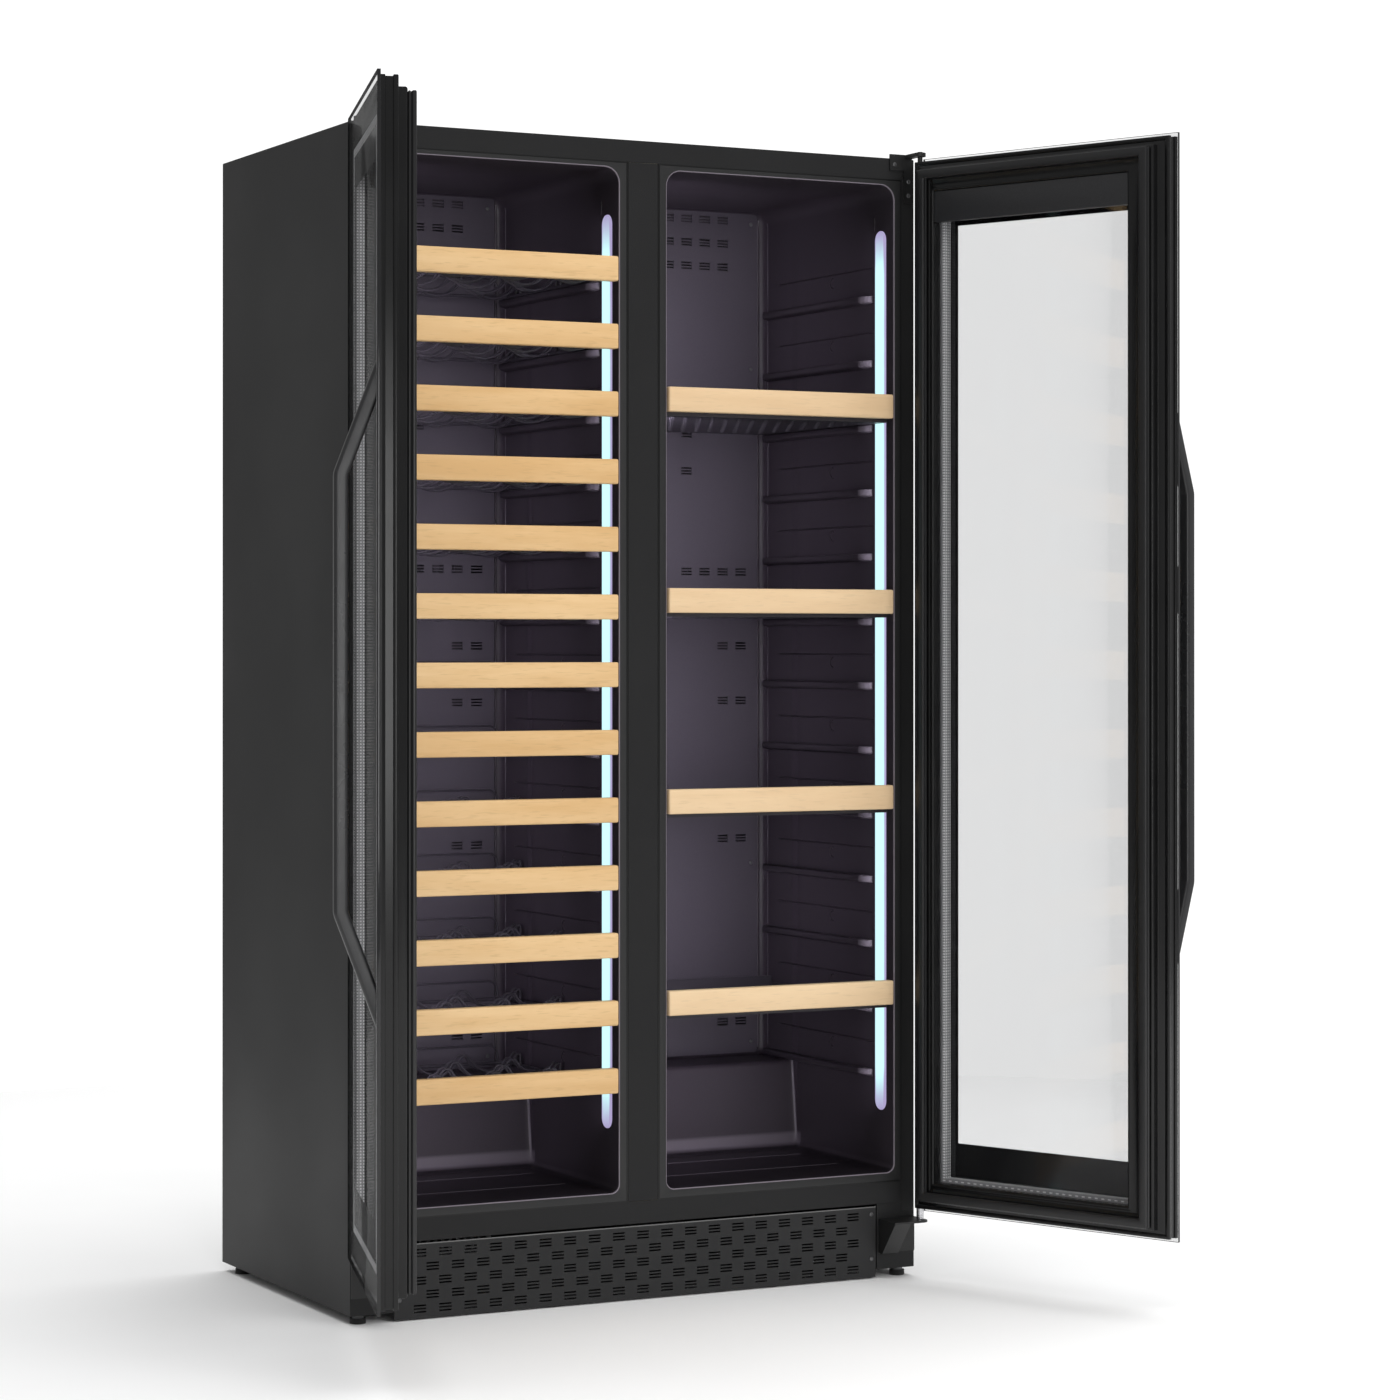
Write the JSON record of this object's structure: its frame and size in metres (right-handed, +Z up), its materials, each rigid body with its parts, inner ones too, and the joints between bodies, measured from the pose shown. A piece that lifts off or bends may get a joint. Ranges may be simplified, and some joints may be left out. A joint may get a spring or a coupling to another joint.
{
  "type": "wine cooler",
  "caption": "Upright two-zone wine cooler with two framed glass doors, wood-fronted wire bottle racks on one side and wood-fronted sliding shelves on the other.",
  "frame": {"origin": "on the floor, midway between the cabinet's sides, in the plane of its front flanges", "axes": "+Z up, +Y towards the back of the cabinet, +X to the right as seen from the front"},
  "size_m": [1.4015, 1.0317, 1.778],
  "materials": {
    "black_paint": "fine satin powder coat",
    "foam": "rigid foam",
    "liner_plastic": "dark moulded plastic",
    "duct_metal": "satin gunmetal",
    "light_diffuser": "frosted, lit",
    "foot_plastic": "matt",
    "screw_steel": "blackened",
    "machine_metal": "mill finish",
    "fan_plastic": "matt",
    "pane_glass": "polished",
    "door_plastic": "black, satin to gloss",
    "seal_rubber": "soft satin",
    "handle_paint": "satin black",
    "panel_plastic": "gloss",
    "wire_coating": "dark satin coating",
    "tray_coating": "dark satin coating",
    "beech": "light oiled wood"
  },
  "bodies": {
    "cabinet": {"outer_casing": "black_paint", "back_panel": "black_paint", "base_tray": "black_paint", "front_frame": "black_paint", "toe_grille": "black_paint", "hinge_brackets": "black_paint", "insulation": "foam", "liner_left": "liner_plastic", "liner_right": "liner_plastic", "duct_cover_left": "duct_metal", "duct_cover_right": "duct_metal", "light_strips": "light_diffuser", "levelling_feet": "foot_plastic", "screws": "screw_steel", "cooling_unit": "machine_metal"},
    "left_fan": {"fan_left": "fan_plastic"},
    "right_fan": {"fan_right": "fan_plastic"},
    "left_door": {"left_door_panes": "pane_glass", "left_door_frame": "door_plastic", "left_door_gasket": "seal_rubber", "left_door_handle": "handle_paint"},
    "right_door": {"right_door_panes": "pane_glass", "right_door_frame": "door_plastic", "right_door_gasket": "seal_rubber", "right_door_handle": "handle_paint", "control_panel": "panel_plastic"},
    "rack_01": {"wine_rack_01": "wire_coating", "wine_rack_front_01": "beech"},
    "rack_02": {"wine_rack_02": "wire_coating", "wine_rack_front_02": "beech"},
    "rack_03": {"wine_rack_03": "wire_coating", "wine_rack_front_03": "beech"},
    "rack_04": {"wine_rack_04": "wire_coating", "wine_rack_front_04": "beech"},
    "rack_05": {"wine_rack_05": "wire_coating", "wine_rack_front_05": "beech"},
    "rack_06": {"wine_rack_06": "wire_coating", "wine_rack_front_06": "beech"},
    "rack_07": {"wine_rack_07": "wire_coating", "wine_rack_front_07": "beech"},
    "rack_08": {"wine_rack_08": "wire_coating", "wine_rack_front_08": "beech"},
    "rack_09": {"wine_rack_09": "wire_coating", "wine_rack_front_09": "beech"},
    "rack_10": {"wine_rack_10": "wire_coating", "wine_rack_front_10": "beech"},
    "rack_11": {"wine_rack_11": "wire_coating", "wine_rack_front_11": "beech"},
    "rack_12": {"wine_rack_12": "wire_coating", "wine_rack_front_12": "beech"},
    "rack_13": {"wine_rack_13": "wire_coating", "wine_rack_front_13": "beech"},
    "slide_shelf_01": {"shelf_01": "tray_coating", "shelf_front_01": "beech"},
    "slide_shelf_02": {"shelf_02": "tray_coating", "shelf_front_02": "beech"},
    "slide_shelf_03": {"shelf_03": "tray_coating", "shelf_front_03": "beech"},
    "slide_shelf_04": {"shelf_04": "tray_coating", "shelf_front_04": "beech"}
  },
  "joints": [
    {"name": "left_door_hinge", "type": "hinge", "parent": "cabinet", "child": "left_door", "pos_m": [-0.472, -0.033, 0], "axis": [0, 0, -1], "range_deg": [-107.2, 12.8]},
    {"name": "right_door_hinge", "type": "hinge", "parent": "cabinet", "child": "right_door", "pos_m": [0.472, -0.033, 0], "axis": [0, 0, 1], "range_deg": [-112, 8]},
    {"name": "left_fan_spin", "type": "hinge", "parent": "cabinet", "child": "left_fan", "pos_m": [-0.2421, 0.45, 0.91404], "axis": [0, 1, 0], "continuous": true},
    {"name": "right_fan_spin", "type": "hinge", "parent": "cabinet", "child": "right_fan", "pos_m": [0.2421, 0.45, 0.91404], "axis": [0, 1, 0], "continuous": true},
    {"name": "rack_01_slide", "type": "slide", "parent": "cabinet", "child": "rack_01", "axis": [0, -1, 0], "range_m": [0, 0.18]},
    {"name": "rack_02_slide", "type": "slide", "parent": "cabinet", "child": "rack_02", "axis": [0, -1, 0], "range_m": [0, 0.18]},
    {"name": "rack_03_slide", "type": "slide", "parent": "cabinet", "child": "rack_03", "axis": [0, -1, 0], "range_m": [0, 0.18]},
    {"name": "rack_04_slide", "type": "slide", "parent": "cabinet", "child": "rack_04", "axis": [0, -1, 0], "range_m": [0, 0.18]},
    {"name": "rack_05_slide", "type": "slide", "parent": "cabinet", "child": "rack_05", "axis": [0, -1, 0], "range_m": [0, 0.18]},
    {"name": "rack_06_slide", "type": "slide", "parent": "cabinet", "child": "rack_06", "axis": [0, -1, 0], "range_m": [0, 0.18]},
    {"name": "rack_07_slide", "type": "slide", "parent": "cabinet", "child": "rack_07", "axis": [0, -1, 0], "range_m": [0, 0.18]},
    {"name": "rack_08_slide", "type": "slide", "parent": "cabinet", "child": "rack_08", "axis": [0, -1, 0], "range_m": [0, 0.18]},
    {"name": "rack_09_slide", "type": "slide", "parent": "cabinet", "child": "rack_09", "axis": [0, -1, 0], "range_m": [0, 0.18]},
    {"name": "rack_10_slide", "type": "slide", "parent": "cabinet", "child": "rack_10", "axis": [0, -1, 0], "range_m": [0, 0.18]},
    {"name": "rack_11_slide", "type": "slide", "parent": "cabinet", "child": "rack_11", "axis": [0, -1, 0], "range_m": [0, 0.18]},
    {"name": "rack_12_slide", "type": "slide", "parent": "cabinet", "child": "rack_12", "axis": [0, -1, 0], "range_m": [0, 0.18]},
    {"name": "rack_13_slide", "type": "slide", "parent": "cabinet", "child": "rack_13", "axis": [0, -1, 0], "range_m": [0, 0.18]},
    {"name": "shelf_01_slide", "type": "slide", "parent": "cabinet", "child": "slide_shelf_01", "axis": [0, -1, 0], "range_m": [0, 0.18]},
    {"name": "shelf_02_slide", "type": "slide", "parent": "cabinet", "child": "slide_shelf_02", "axis": [0, -1, 0], "range_m": [0, 0.18]},
    {"name": "shelf_03_slide", "type": "slide", "parent": "cabinet", "child": "slide_shelf_03", "axis": [0, -1, 0], "range_m": [0, 0.18]},
    {"name": "shelf_04_slide", "type": "slide", "parent": "cabinet", "child": "slide_shelf_04", "axis": [0, -1, 0], "range_m": [0, 0.18]}
  ]
}
